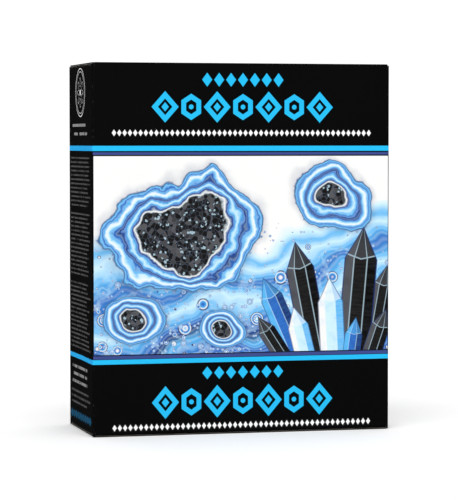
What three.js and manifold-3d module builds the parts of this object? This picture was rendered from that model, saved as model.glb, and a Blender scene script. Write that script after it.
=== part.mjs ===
// A folding carton of printed paperboard: four walls glued into a sleeve, a tuck lid creased to the
// back wall, a dust flap creased to each side wall, and a bottom of four flaps glued one over another.
// Millimetres, +Z up. The front wall faces -Y and the origin is the middle of the underside.

import * as THREE from 'three';
import { mergeVertices } from 'three/addons/utils/BufferGeometryUtils.js';
import Module from 'manifold-3d';

const wasm = await Module();
wasm.setup();

// Outside size of the closed carton.
const WIDTH = 120;
const DEPTH = 48;
const HEIGHT = 145;

// The board and how it folds.
const BOARD = 0.5;
const CREASE_RADIUS = 0.9;
const CREASE_FACETS = 6;
const CLEARANCE = 0.3;

// The seam: the back wall is glued over a flap that is creased to the left wall.
const GLUE_FLAP_WIDTH = 14;
const GLUE_FLAP_SHORTER_BY = 3;
const GLUE_FLAP_TAPER = 5;
const SEAM_SETBACK = 0.4;

// Next to each vertical corner the board is slit, so that each flap folds by itself.
const CORNER_SLIT = 0.3;

// The lid and its tuck flap, which curls in a little so that it clears the front wall as it swings.
const LID_SIDE_SETBACK = 0.4;
const TUCK_LENGTH = 15;
const TUCK_CURL_RADIUS = 40;
const TUCK_CURL_FACETS = 8;
const TUCK_SIDE_SETBACK = 2.4;
const TUCK_CORNER_RADIUS = 9;
const LOCK_SLIT_LENGTH = 6;
const LOCK_SLIT_WIDTH = 0.6;

// The dust flaps under the lid. The shoulder leaves room for the tuck flap.
const DUST_FLAP_LENGTH = 36;
const DUST_FRONT_SETBACK = 1.8;
const DUST_REAR_SETBACK = 1.5;
const DUST_SHOULDER_AT = 3;
const DUST_SHOULDER_DEPTH = 3;
const DUST_TAPER = 1.5;
const DUST_REAR_TAPER = 5;
const DUST_CORNER_RADIUS = 6;

// The bottom flaps, from the inside out: two side flaps, an inner flap and an outer flap.
const BOTTOM_SIDE_FLAP_LENGTH = 36;
const BOTTOM_FLAP_SIDE_SETBACK = 0.8;
const BOTTOM_OUTER_FRONT_SETBACK = 0.6;
const BOTTOM_REAR_CLEARANCE = 1.3;

// Sizes that follow from those.
const halfWidth = WIDTH / 2;
const halfDepth = DEPTH / 2;
const innerCreaseRadius = CREASE_RADIUS - BOARD;
const cornerEnd = CREASE_RADIUS + CORNER_SLIT;
const lidUnderside = HEIGHT - BOARD;
const dustFlapTop = lidUnderside - CLEARANCE;
const dustFlapUnderside = dustFlapTop - BOARD;
const dustHingeX = halfWidth - CREASE_RADIUS - CLEARANCE;
const lidHingeY = halfDepth - CREASE_RADIUS - CLEARANCE / 2;
const bottomOuterLevel = 0;
const bottomInnerLevel = BOARD;
const bottomSideLevel = 2 * BOARD;

const PRINTED_BLACK = { color: 0x0c0d10, roughness: 0.38, metalness: 0 };
const UNPRINTED_BOARD = { color: 0xc9c5ba, roughness: 0.85, metalness: 0 };

// ---- Shapes and solids ----

const AXIS_BASES = {
  x: [new THREE.Vector3(0, 1, 0), new THREE.Vector3(0, 0, 1), new THREE.Vector3(1, 0, 0)],
  y: [new THREE.Vector3(0, 0, 1), new THREE.Vector3(1, 0, 0), new THREE.Vector3(0, 1, 0)],
  z: [new THREE.Vector3(1, 0, 0), new THREE.Vector3(0, 1, 0), new THREE.Vector3(0, 0, 1)],
};

// A prism of a flat outline along one axis, from one place on that axis to another. The outline's two
// coordinates are the next two axes in turn: Y and Z for a prism along X, Z and X along Y, X and Y along Z.
function prism(outline, axis, from, to) {
  const geometry = new THREE.ExtrudeGeometry(outline, {
    depth: to - from,
    bevelEnabled: false,
    curveSegments: CREASE_FACETS / 2,
  });
  geometry.translate(0, 0, from);
  geometry.applyMatrix4(new THREE.Matrix4().makeBasis(...AXIS_BASES[axis]));
  return toSolid(geometry);
}

function block(low, high) {
  const outline = polygon([
    [low[0], low[1]],
    [high[0], low[1]],
    [high[0], high[1]],
    [low[0], high[1]],
  ]);
  return prism(outline, 'z', low[2], high[2]);
}

function polygon(points) {
  return new THREE.Shape(points.map(([u, v]) => new THREE.Vector2(u, v)));
}

function toSolid(geometry) {
  geometry.deleteAttribute('normal');
  geometry.deleteAttribute('uv');
  const merged = mergeVertices(geometry);
  return new wasm.Manifold(
    new wasm.Mesh({
      numProp: 3,
      vertProperties: new Float32Array(merged.attributes.position.array),
      triVerts: new Uint32Array(merged.index.array),
    }),
  );
}

function toGeometry(solid) {
  const mesh = solid.getMesh();
  const geometry = new THREE.BufferGeometry();
  geometry.setAttribute('position', new THREE.BufferAttribute(mesh.vertProperties, 3));
  geometry.setIndex(new THREE.BufferAttribute(mesh.triVerts, 1));
  geometry.computeVertexNormals();
  return geometry;
}

function namedMesh(name, solid, finish) {
  const mesh = new THREE.Mesh(toGeometry(solid), new THREE.MeshStandardMaterial(finish));
  mesh.name = name;
  return mesh;
}

// Points on an arc from one angle to another, both ends included.
function arcPoints(centreU, centreV, radius, fromAngle, toAngle, facets) {
  return Array.from({ length: facets + 1 }, (_, i) => {
    const angle = fromAngle + ((toAngle - fromAngle) * i) / facets;
    return [centreU + radius * Math.cos(angle), centreV + radius * Math.sin(angle)];
  });
}

// ---- The sleeve ----

// Plan of the four walls. The back wall ends in a cut edge at the left corner, over the glue flap,
// whose crease lies one board thickness further in.
function sleeveOutline() {
  const cornerX = halfWidth - CREASE_RADIUS;
  const cornerY = halfDepth - CREASE_RADIUS;
  const glueCornerY = cornerY - BOARD;
  const seamAngle = Math.PI - Math.acos((CREASE_RADIUS - SEAM_SETBACK) / CREASE_RADIUS);
  const quarter = Math.PI / 2;

  const outline = new THREE.Shape();
  outline.moveTo(-cornerX, -halfDepth);
  outline.lineTo(cornerX, -halfDepth);
  outline.absarc(cornerX, -cornerY, CREASE_RADIUS, -quarter, 0);
  outline.lineTo(halfWidth, cornerY);
  outline.absarc(cornerX, cornerY, CREASE_RADIUS, 0, quarter);
  outline.lineTo(-halfWidth + SEAM_SETBACK, halfDepth);
  outline.absarc(-cornerX, glueCornerY, CREASE_RADIUS, seamAngle, 2 * quarter);
  outline.lineTo(-halfWidth, -cornerY);
  outline.absarc(-cornerX, -cornerY, CREASE_RADIUS, 2 * quarter, 3 * quarter);

  const hollow = new THREE.Path();
  hollow.moveTo(-cornerX, -halfDepth + BOARD);
  hollow.lineTo(cornerX, -halfDepth + BOARD);
  hollow.absarc(cornerX, -cornerY, innerCreaseRadius, -quarter, 0);
  hollow.lineTo(halfWidth - BOARD, cornerY);
  hollow.absarc(cornerX, cornerY, innerCreaseRadius, 0, quarter);
  hollow.lineTo(-halfWidth + GLUE_FLAP_WIDTH, halfDepth - BOARD);
  hollow.lineTo(-halfWidth + GLUE_FLAP_WIDTH, halfDepth - 2 * BOARD);
  hollow.lineTo(-cornerX, halfDepth - 2 * BOARD);
  hollow.absarc(-cornerX, glueCornerY, innerCreaseRadius, quarter, 2 * quarter);
  hollow.lineTo(-halfWidth + BOARD, -cornerY);
  hollow.absarc(-cornerX, -cornerY, innerCreaseRadius, 2 * quarter, 3 * quarter);
  outline.holes.push(hollow);
  return outline;
}

// Section of a crease that turns a wall inwards, with a leg that laps into the wall. The first coordinate
// is the distance in from the wall's outer face, and the second rises from the wall to the flap's face.
function creaseSection() {
  const leg = -BOARD;
  const quarter = Math.PI / 2;
  return [
    [BOARD, leg],
    [0, leg],
    ...arcPoints(CREASE_RADIUS, 0, CREASE_RADIUS, 2 * quarter, quarter, CREASE_FACETS),
    ...arcPoints(CREASE_RADIUS, 0, innerCreaseRadius, quarter, 2 * quarter, CREASE_FACETS),
  ];
}

// A crease lip on one wall: side is the sign of the wall's place on its axis, face the height of the
// flap's outer face, and up is 1 at the top of the wall and -1 at its bottom.
function creaseLip(wallAxis, side, face, up, from, to) {
  const wallPlace = wallAxis === 'x' ? halfWidth : halfDepth;
  const heightOf = (rise) => face - up * CREASE_RADIUS + up * rise;
  const placeOf = (inward) => side * (wallPlace - inward);
  const section = creaseSection();
  if (wallAxis === 'x') {
    return prism(polygon(section.map(([inward, rise]) => [heightOf(rise), placeOf(inward)])), 'y', from, to);
  }
  return prism(polygon(section.map(([inward, rise]) => [placeOf(inward), heightOf(rise)])), 'x', from, to);
}

// What is taken off the glue flap at one end: a strip and a slanting corner.
function glueFlapEnd(end, up) {
  const innerFace = halfDepth - 2 * BOARD;
  const outerFace = halfDepth - BOARD;
  const shoulder = end - up * GLUE_FLAP_SHORTER_BY;
  const outline = polygon([
    [end + up * BOARD, -halfWidth + CREASE_RADIUS],
    [shoulder, -halfWidth + CREASE_RADIUS],
    [shoulder - up * GLUE_FLAP_TAPER, -halfWidth + GLUE_FLAP_WIDTH + BOARD],
    [end + up * BOARD, -halfWidth + GLUE_FLAP_WIDTH + BOARD],
  ]);
  return prism(outline, 'y', innerFace - BOARD, outerFace);
}

function sleeve() {
  const beyond = 1;
  const sideFrom = -halfDepth + cornerEnd;
  const sideTo = halfDepth - BOARD - cornerEnd;
  const wallInner = 2 * BOARD;
  const longEnd = halfWidth - cornerEnd;
  let walls = prism(sleeveOutline(), 'z', CREASE_RADIUS, HEIGHT);

  // Beside the front wall's straight cut edge, the corners and side walls end lower, under the lid.
  for (const side of [-1, 1]) {
    const xs = [side * longEnd, side * (halfWidth + beyond)].sort((a, b) => a - b);
    const sideXs = [side * (halfWidth - wallInner), side * (halfWidth + beyond)].sort((a, b) => a - b);
    const topCorner = block([xs[0], -halfDepth - beyond, dustFlapTop], [xs[1], halfDepth + beyond, HEIGHT + beyond]);
    const topSide = block(
      [sideXs[0], sideFrom, dustFlapTop - CREASE_RADIUS],
      [sideXs[1], sideTo, HEIGHT + beyond],
    );
    const bottomSide = block([sideXs[0], sideFrom, 0], [sideXs[1], sideTo, bottomSideLevel + CREASE_RADIUS]);
    walls = walls.subtract(topCorner).subtract(topSide).subtract(bottomSide);
  }
  const topRear = block(
    [-longEnd, halfDepth - wallInner, HEIGHT - CREASE_RADIUS],
    [longEnd, halfDepth + beyond, HEIGHT + beyond],
  );
  const bottomFront = block(
    [-longEnd, -halfDepth - beyond, 0],
    [longEnd, -halfDepth + wallInner, bottomInnerLevel + CREASE_RADIUS],
  );
  walls = walls.subtract(topRear).subtract(bottomFront);
  walls = walls.subtract(glueFlapEnd(HEIGHT, 1)).subtract(glueFlapEnd(0, -1));

  const lips = [
    creaseLip('x', -1, dustFlapTop, 1, sideFrom, sideTo),
    creaseLip('x', 1, dustFlapTop, 1, sideFrom, sideTo),
    creaseLip('x', -1, bottomSideLevel, -1, sideFrom, sideTo),
    creaseLip('x', 1, bottomSideLevel, -1, sideFrom, sideTo),
    creaseLip('y', 1, HEIGHT, 1, -longEnd, longEnd),
    creaseLip('y', 1, bottomOuterLevel, -1, -longEnd, longEnd),
    creaseLip('y', -1, bottomInnerLevel, -1, -longEnd, longEnd),
  ];
  return lips.reduce((solid, lip) => solid.add(lip), walls);
}

// ---- The lid ----

// The lid is drawn with its hinge line at the origin, closed, so it reaches to -Y and its tuck flap down.
function lid() {
  const rear = -CLEARANCE / 2;
  const front = -(lidHingeY + halfDepth - BOARD - CLEARANCE);
  const curlCentre = front + TUCK_CURL_RADIUS;
  const curl = TUCK_LENGTH / TUCK_CURL_RADIUS;
  const quarter = Math.PI / 2;
  const section = [
    [rear, 0],
    ...arcPoints(front + CREASE_RADIUS, -CREASE_RADIUS, CREASE_RADIUS, quarter, 2 * quarter, CREASE_FACETS),
    ...arcPoints(curlCentre, -CREASE_RADIUS, TUCK_CURL_RADIUS, 2 * quarter, 2 * quarter + curl, TUCK_CURL_FACETS)
      .slice(1),
    ...arcPoints(
      curlCentre,
      -CREASE_RADIUS,
      TUCK_CURL_RADIUS - BOARD,
      2 * quarter + curl,
      2 * quarter,
      TUCK_CURL_FACETS,
    ),
    ...arcPoints(
      front + CREASE_RADIUS,
      -CREASE_RADIUS,
      innerCreaseRadius,
      2 * quarter,
      quarter,
      CREASE_FACETS,
    ).slice(1),
    [rear, -BOARD],
  ];
  const panelHalf = halfWidth - LID_SIDE_SETBACK;
  const tuckHalf = halfWidth - TUCK_SIDE_SETBACK;
  const tuckTip = -CREASE_RADIUS - TUCK_CURL_RADIUS * Math.sin(curl);
  let solid = prism(polygon(section), 'x', -panelHalf, panelHalf);

  const below = tuckTip - BOARD;
  const ahead = front - BOARD;
  const behind = front + TUCK_LENGTH;
  for (const side of [-1, 1]) {
    const sideStrip = block(
      [Math.min(side * tuckHalf, side * halfWidth), ahead, below],
      [Math.max(side * tuckHalf, side * halfWidth), behind, -BOARD],
    );
    const corner = roundedCornerWaste(side, tuckHalf, tuckTip, below);
    const slitXs = [side * (tuckHalf - LOCK_SLIT_LENGTH), side * halfWidth].sort((a, b) => a - b);
    const lockSlit = block(
      [slitXs[0], ahead, -CREASE_RADIUS - LOCK_SLIT_WIDTH],
      [slitXs[1], behind, -CREASE_RADIUS],
    );
    solid = solid.subtract(sideStrip).subtract(prism(corner, 'y', ahead, behind)).subtract(lockSlit);
  }
  return solid;
}

// What is cut away outside the rounded free corner of the tuck flap, in Z and X.
function roundedCornerWaste(side, tuckHalf, tuckTip, below) {
  const centreX = tuckHalf - TUCK_CORNER_RADIUS;
  const centreZ = tuckTip + TUCK_CORNER_RADIUS;
  const round = arcPoints(centreZ, centreX, TUCK_CORNER_RADIUS, Math.PI / 2, Math.PI, 2 * CREASE_FACETS);
  const waste = [...round, [below, centreX], [below, halfWidth], [centreZ, halfWidth]];
  return polygon(waste.map(([z, x]) => [z, side * x]));
}

// ---- The flaps ----

// A dust flap with its hinge line at the origin, reaching inwards: to +X from the left wall (side -1).
function dustFlap(side) {
  const front = -halfDepth + DUST_FRONT_SETBACK;
  const rear = halfDepth - DUST_REAR_SETBACK;
  const shoulderFront = front + DUST_SHOULDER_DEPTH;
  const tipFront = shoulderFront + DUST_TAPER;
  const tipRear = rear - DUST_REAR_TAPER;
  const roundAt = DUST_FLAP_LENGTH - DUST_CORNER_RADIUS;
  const quarter = Math.PI / 2;
  const points = [
    [0, front],
    [DUST_SHOULDER_AT, front],
    [DUST_SHOULDER_AT + DUST_TAPER, shoulderFront],
    ...arcPoints(roundAt, tipFront + DUST_CORNER_RADIUS, DUST_CORNER_RADIUS, -quarter, 0, CREASE_FACETS),
    ...arcPoints(roundAt, tipRear - DUST_CORNER_RADIUS, DUST_CORNER_RADIUS, 0, quarter, CREASE_FACETS),
    [DUST_SHOULDER_AT, rear],
    [0, rear],
  ];
  return prism(polygon(points.map(([reach, y]) => [-side * reach, y])), 'z', 0, BOARD);
}

function bottomSideFlap(side) {
  const hinge = halfWidth - CREASE_RADIUS;
  const xs = [side * hinge, side * (hinge - BOTTOM_SIDE_FLAP_LENGTH)].sort((a, b) => a - b);
  return block(
    [xs[0], -halfDepth + cornerEnd, bottomSideLevel],
    [xs[1], halfDepth - BOTTOM_REAR_CLEARANCE, bottomSideLevel + BOARD],
  );
}

function bottomInnerFlap() {
  const halfLength = halfWidth - BOTTOM_FLAP_SIDE_SETBACK;
  return block(
    [-halfLength, -halfDepth + CREASE_RADIUS, bottomInnerLevel],
    [halfLength, halfDepth - BOTTOM_REAR_CLEARANCE, bottomInnerLevel + BOARD],
  );
}

function bottomOuterFlap() {
  const halfLength = halfWidth - BOTTOM_FLAP_SIDE_SETBACK;
  return block(
    [-halfLength, -halfDepth + BOTTOM_OUTER_FRONT_SETBACK, bottomOuterLevel],
    [halfLength, halfDepth - CREASE_RADIUS, bottomOuterLevel + BOARD],
  );
}

// ---- The carton ----

function hinged(name, solid, finish, x, y, z) {
  const hinge = new THREE.Group();
  hinge.position.set(x, y, z);
  hinge.add(namedMesh(name, solid, finish));
  return hinge;
}

function foldingCarton() {
  const carton = new THREE.Group();
  carton.add(namedMesh('wall_sleeve', sleeve(), PRINTED_BLACK));
  carton.add(hinged('tuck_lid', lid(), PRINTED_BLACK, 0, lidHingeY, HEIGHT));
  carton.add(hinged('left_dust_flap', dustFlap(-1), UNPRINTED_BOARD, -dustHingeX, 0, dustFlapUnderside));
  carton.add(hinged('right_dust_flap', dustFlap(1), UNPRINTED_BOARD, dustHingeX, 0, dustFlapUnderside));
  carton.add(namedMesh('bottom_left_flap', bottomSideFlap(-1), UNPRINTED_BOARD));
  carton.add(namedMesh('bottom_right_flap', bottomSideFlap(1), UNPRINTED_BOARD));
  carton.add(namedMesh('bottom_inner_flap', bottomInnerFlap(), UNPRINTED_BOARD));
  carton.add(namedMesh('bottom_outer_flap', bottomOuterFlap(), PRINTED_BLACK));
  return carton;
}

export default foldingCarton();
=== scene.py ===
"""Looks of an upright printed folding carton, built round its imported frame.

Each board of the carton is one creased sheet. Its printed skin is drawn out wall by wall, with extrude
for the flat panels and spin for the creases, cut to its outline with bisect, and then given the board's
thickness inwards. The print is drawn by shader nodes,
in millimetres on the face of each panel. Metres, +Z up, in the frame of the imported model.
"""

from __future__ import annotations

import logging
import math
from abc import ABC, abstractmethod
from dataclasses import dataclass
from enum import Enum
from typing import Callable

import bmesh
import bpy
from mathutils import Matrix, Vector


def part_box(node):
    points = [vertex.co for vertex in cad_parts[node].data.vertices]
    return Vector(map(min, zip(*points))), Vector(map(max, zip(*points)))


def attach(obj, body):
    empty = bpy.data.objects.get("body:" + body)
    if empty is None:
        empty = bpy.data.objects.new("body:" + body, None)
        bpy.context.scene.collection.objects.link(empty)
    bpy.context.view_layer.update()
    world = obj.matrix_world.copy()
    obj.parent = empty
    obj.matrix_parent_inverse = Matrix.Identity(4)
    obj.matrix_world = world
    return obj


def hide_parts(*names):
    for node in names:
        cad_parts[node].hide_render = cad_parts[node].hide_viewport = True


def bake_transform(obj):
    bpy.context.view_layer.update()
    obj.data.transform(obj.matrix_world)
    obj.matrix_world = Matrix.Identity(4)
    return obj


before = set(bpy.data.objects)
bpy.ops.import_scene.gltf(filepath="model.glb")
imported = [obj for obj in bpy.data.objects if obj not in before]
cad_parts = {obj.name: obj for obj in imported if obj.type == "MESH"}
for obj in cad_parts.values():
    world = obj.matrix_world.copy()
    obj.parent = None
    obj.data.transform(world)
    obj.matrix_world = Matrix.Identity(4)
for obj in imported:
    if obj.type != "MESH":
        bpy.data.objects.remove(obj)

MM = 0.001
NEAR = 0.02 * MM
MERGE = NEAR / 4
REST_PLACE = "rest_place"
IMAGE_MAP = "OFBake"
X_AXIS = Vector((1, 0, 0))
Y_AXIS = Vector((0, 1, 0))
Z_AXIS = Vector((0, 0, 1))

log = logging.getLogger("carton")
Test = Callable[[Vector], bool]
Colour = tuple[float, float, float, float]
Pair = tuple[float, float]


# ---- Sizes ----


@dataclass(frozen=True)
class CartonSizes:
    """Main sizes of the closed carton, in metres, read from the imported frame.

    Attributes:
        half_width: Half of the outside width, along X.
        half_depth: Half of the outside depth, along Y.
        height: Outside height.
        board: Thickness of the board.
        side_rim: Height of the folded lips of the side walls, where the dust flaps lie.
        crease: Outer radius of a crease.
        slit: Width of the slit beside each corner, between two flaps.
    """

    half_width: float
    half_depth: float
    height: float
    board: float
    side_rim: float
    crease: float = 0.9 * MM
    slit: float = 0.14 * MM

    @classmethod
    def from_frame(cls) -> CartonSizes:
        """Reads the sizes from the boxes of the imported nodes.

        Returns:
            The sizes.
        """
        sleeve_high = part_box("wall_sleeve")[1]
        flap_low, flap_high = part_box("left_dust_flap")
        return cls(*sleeve_high, flap_high.z - flap_low.z, flap_high.z)

    @property
    def corner_x(self) -> float:
        """Where the flat of the front and back walls ends and the corner crease begins."""
        return self.half_width - self.crease

    @property
    def corner_y(self) -> float:
        """Where the flat of a side wall ends and the corner crease begins."""
        return self.half_depth - self.crease

    @property
    def slit_x(self) -> float:
        """Where the lips of the front and back walls end."""
        return self.corner_x - self.slit

    @property
    def slit_y(self) -> float:
        """Where the lips of the side walls end, at the front."""
        return self.corner_y - self.slit


# ---- Working on a mesh by hand ----


class Kind(Enum):
    """What a pick selects."""

    VERT = "VERT"
    EDGE = "EDGE"
    FACE = "FACE"


def within(x: tuple = (), y: tuple = (), z: tuple = ()) -> Test:
    """Makes a test for places inside a box.

    Args:
        x: Its two ends on X in any order, or one value alone. Left out, X has no limit.
        y: The same on Y.
        z: The same on Z.

    Returns:
        A function that is true for a place in the box, to within a hair.
    """
    limits = [(axis, min(span) - NEAR, max(span) + NEAR) for axis, span in enumerate((x, y, z)) if span]
    return lambda place: all(low <= place[axis] <= high for axis, low, high in limits)


class Bench:
    """One mesh in edit mode, shaped with the operators that a modeller uses by hand.

    Attributes:
        arc_cuts: Number of cuts that round off a corner.
        edge_bevel: How far the cut edges are softened.
        sharp: Least angle at which an edge counts as cut.
        smooth: Greatest angle between two faces that are shaded as one.
        map_seam: Greatest angle within one patch of an image map.
        map_gap: Gap between two patches, as a share of the map.
    """

    arc_cuts: int = 7
    edge_bevel: float = 0.05 * MM
    sharp: float = math.radians(60)
    smooth: float = math.radians(35)
    map_seam: float = math.radians(66)
    map_gap: float = 0.003

    def __init__(
        self, name: str, low: Vector, high: Vector, cells: tuple[int, int], turn: float = 0
    ) -> None:
        """Adds the flat grid that the piece grows from.

        Args:
            name: The piece's name.
            low: The grid's lowest corner.
            high: Its highest corner.
            cells: Number of faces along its own two sides.
            turn: Its rotation about X, in degrees.
        """
        bpy.ops.object.select_all(action="DESELECT")
        bpy.ops.mesh.primitive_grid_add(
            x_subdivisions=cells[0],
            y_subdivisions=cells[1],
            size=1,
            location=(low + high) / 2,
            rotation=(math.radians(turn), 0, 0),
        )
        self.piece = bpy.context.object
        self.piece.name = name
        self.piece.data.name = name
        span = high - low
        self.piece.scale = (span.x, span.z if span.z > NEAR else span.y, 1)
        bpy.ops.object.transform_apply(location=True, rotation=True, scale=True)
        bpy.ops.object.mode_set(mode="EDIT")

    def pick(self, kind: Kind, test: Test) -> None:
        """Selects what passes a test, and nothing else.

        Args:
            kind: Whether vertices, edges or faces are selected.
            test: It has to be true for every corner.
        """
        bpy.ops.mesh.select_mode(type=kind.value)
        bpy.ops.mesh.select_all(action="DESELECT")
        mesh = bmesh.from_edit_mesh(self.piece.data)
        items = {Kind.VERT: mesh.verts, Kind.EDGE: mesh.edges, Kind.FACE: mesh.faces}[kind]
        for item in items:
            corners = [item] if kind is Kind.VERT else item.verts
            item.select_set(all(test(corner.co) for corner in corners))
        mesh.select_flush_mode()
        bmesh.update_edit_mesh(self.piece.data)

    def draw_out(self, direction: Vector, *runs: float | tuple[float, int]) -> None:
        """Extrudes the picked edges.

        Args:
            direction: The direction of all the runs.
            runs: How far each run goes. A run in equal steps is given with their number.
        """
        for run in runs:
            length, steps = run if isinstance(run, tuple) else (run, 1)
            for _ in range(steps):
                offset = direction * length / steps
                bpy.ops.mesh.extrude_region_move(TRANSFORM_OT_translate={"value": offset})

    def fold(self, centre: Vector, axis: Vector, degrees: float, steps: int) -> None:
        """Spins the picked edges about a line into a rounded crease, right-handed about the axis."""
        bpy.ops.mesh.spin(steps=steps, angle=-math.radians(degrees), center=centre, axis=axis)

    def cut(self, test: Test, place: Vector, normal: Vector, discard: bool = False) -> None:
        """Cuts the faces that pass the test by a plane.

        Args:
            test: Picks the faces to cut.
            place: A point on the plane.
            normal: The plane's normal, towards the side that may be discarded.
            discard: Whether what lies on that side is removed.
        """
        self.pick(Kind.FACE, test)
        bpy.ops.mesh.bisect(plane_co=place, plane_no=normal, clear_outer=discard)

    def round_off(self, test: Test, centre: Vector, radius: float, start: Vector, end: Vector) -> None:
        """Cuts a corner to an arc, by planes that touch it.

        Args:
            test: Picks the faces to cut.
            centre: The arc's centre.
            radius: Its radius.
            start: Direction from the centre to its beginning.
            end: Direction to its end.
        """
        for step in range(self.arc_cuts):
            direction = start.slerp(end, (step + 0.5) / self.arc_cuts)
            self.cut(test, centre + direction * radius, direction, discard=True)

    def remove(self, test: Test) -> None:
        """Deletes the faces that pass the test."""
        self.pick(Kind.FACE, test)
        bpy.ops.mesh.delete(type="FACE")

    def bow(self, test: Test, offset: Vector, reach: float) -> None:
        """Moves the vertices that pass, and what lies within reach of them less and less."""
        self.pick(Kind.VERT, test)
        bpy.ops.transform.translate(
            value=offset,
            use_proportional_edit=True,
            proportional_edit_falloff="SMOOTH",
            proportional_size=reach,
        )

    def face(self, test: Test, outwards: Vector) -> None:
        """Joins doubled vertices and turns every face out.

        Args:
            test: Picks faces whose direction is known.
            outwards: That direction.
        """
        bpy.ops.mesh.select_mode(type="FACE")
        bpy.ops.mesh.select_all(action="SELECT")
        bpy.ops.mesh.remove_doubles(threshold=MERGE)
        bpy.ops.mesh.normals_make_consistent(inside=False)
        mesh = bmesh.from_edit_mesh(self.piece.data)
        mesh.normal_update()
        known = next(face for face in mesh.faces if all(test(corner.co) for corner in face.verts))
        if known.normal.dot(outwards) < 0:
            bpy.ops.mesh.flip_normals()

    def thicken(self, board: float) -> None:
        """Gives the skin the board's thickness inwards and softens its cut edges.

        The material slots hold the printed finishes first, then the inside, then the cut edge. Solidify
        adds one inner face for each face of the skin and then the rim, and they get the last two.

        Args:
            board: The thickness.
        """
        mesh = self.piece.data
        skin = len(mesh.polygons)
        self._modify("SOLIDIFY", thickness=board, offset=-1, use_even_offset=True)
        inside = len(mesh.materials) - 2
        for index in range(skin, len(mesh.polygons)):
            mesh.polygons[index].material_index = inside if index < 2 * skin else inside + 1
        limits = {"limit_method": "ANGLE", "angle_limit": self.sharp}
        self._modify("BEVEL", width=self.edge_bevel, segments=1, material=-1, **limits)
        bpy.ops.object.mode_set(mode="EDIT")
        bpy.ops.mesh.select_mode(type="VERT")
        bpy.ops.mesh.select_all(action="SELECT")
        bpy.ops.mesh.dissolve_degenerate(threshold=MERGE)
        bpy.ops.mesh.delete_loose()
        bpy.ops.object.mode_set(mode="OBJECT")
        bpy.ops.object.shade_smooth_by_angle(angle=self.smooth)

    def _modify(self, kind: str, **settings: float | str | bool) -> None:
        """Adds a modifier and applies it.

        Args:
            kind: Its type.
            settings: Its settings.
        """
        modifier = self.piece.modifiers.new(kind.lower(), kind)
        for name, value in settings.items():
            setattr(modifier, name, value)
        bpy.ops.object.modifier_apply(modifier=modifier.name)

    def keep_place(self) -> None:
        """Keeps each vertex's place in an attribute, where the print finds it."""
        mesh = self.piece.data
        kept = mesh.attributes.new(REST_PLACE, "FLOAT_VECTOR", "POINT")
        for vertex in mesh.vertices:
            kept.data[vertex.index].vector = vertex.co

    def lay_flat(self, scales: tuple[float, ...]) -> None:
        """Lays the faces out flat in the map that images of the finished surface are made through.

        Args:
            scales: How large the faces of each material slot are laid out beside the others.
        """
        mesh = self.piece.data
        mesh.uv_layers.active.name = IMAGE_MAP
        bpy.ops.object.mode_set(mode="EDIT")
        bpy.ops.mesh.select_all(action="SELECT")
        bpy.ops.uv.smart_project(angle_limit=self.map_seam, island_margin=self.map_gap)
        bpy.ops.object.mode_set(mode="OBJECT")
        corners = mesh.uv_layers[IMAGE_MAP].uv
        for face in mesh.polygons:
            for corner in face.loop_indices:
                corners[corner].vector *= scales[face.material_index]
        bpy.ops.object.mode_set(mode="EDIT")
        bpy.ops.uv.select_all(action="SELECT")
        bpy.ops.uv.pack_islands(shape_method="AABB", margin_method="FRACTION", margin=self.map_gap)
        bpy.ops.object.mode_set(mode="OBJECT")


# ---- Shader expressions ----


def adds(operation: str) -> Callable[..., Value]:
    """Makes a method that adds a Math node of that operation on its value and on what it is given."""
    return lambda value, *others: value.math(operation, *others)


@dataclass(frozen=True)
class Value:
    """One output of a node. Arithmetic on it adds Math nodes, and a comparison gives 1 or 0."""

    nodes: Nodes
    socket: bpy.types.NodeSocket

    def math(self, operation: str, *others: Value | float, clamp: bool = False) -> Value:
        """Adds a Math node on this value and others.

        Args:
            operation: The node's operation.
            others: The other inputs, in their order.
            clamp: Whether the result is kept from 0 to 1.

        Returns:
            The node's result.
        """
        settings = {"operation": operation, "use_clamp": clamp}
        return self.nodes.add("ShaderNodeMath", settings, dict(enumerate((self, *others))))

    def __rsub__(self, first: float) -> Value:
        """A number less this value."""
        return self.nodes.add("ShaderNodeMath", {"operation": "SUBTRACT"}, {0: first, 1: self})

    __add__ = __radd__ = adds("ADD")
    __mul__ = __rmul__ = adds("MULTIPLY")
    __sub__ = adds("SUBTRACT")
    __truediv__ = adds("DIVIDE")
    __abs__ = adds("ABSOLUTE")
    __gt__ = adds("GREATER_THAN")
    __lt__ = adds("LESS_THAN")
    lower = adds("MINIMUM")
    higher = adds("MAXIMUM")
    whole = adds("FLOOR")
    part = adds("FRACT")

    def rise(self, low: float, high: float) -> Value:
        """A smooth step, from 0 at low to 1 at high."""
        inputs = {"Value": self, "From Min": low, "From Max": high}
        return self.nodes.add("ShaderNodeMapRange", {"interpolation_type": "SMOOTHSTEP"}, inputs)

    def filled(self, soft: float = 0.08) -> Value:
        """A mask from a distance in millimetres: 1 inside the shape, where the distance is negative."""
        return self.math("MULTIPLY_ADD", -1 / soft, 0.5, clamp=True)

    def stroke(self, line: float) -> Value:
        """Distance to a line of that width along the inside of the shape's edge."""
        return abs(self + line / 2) - line / 2


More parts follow.
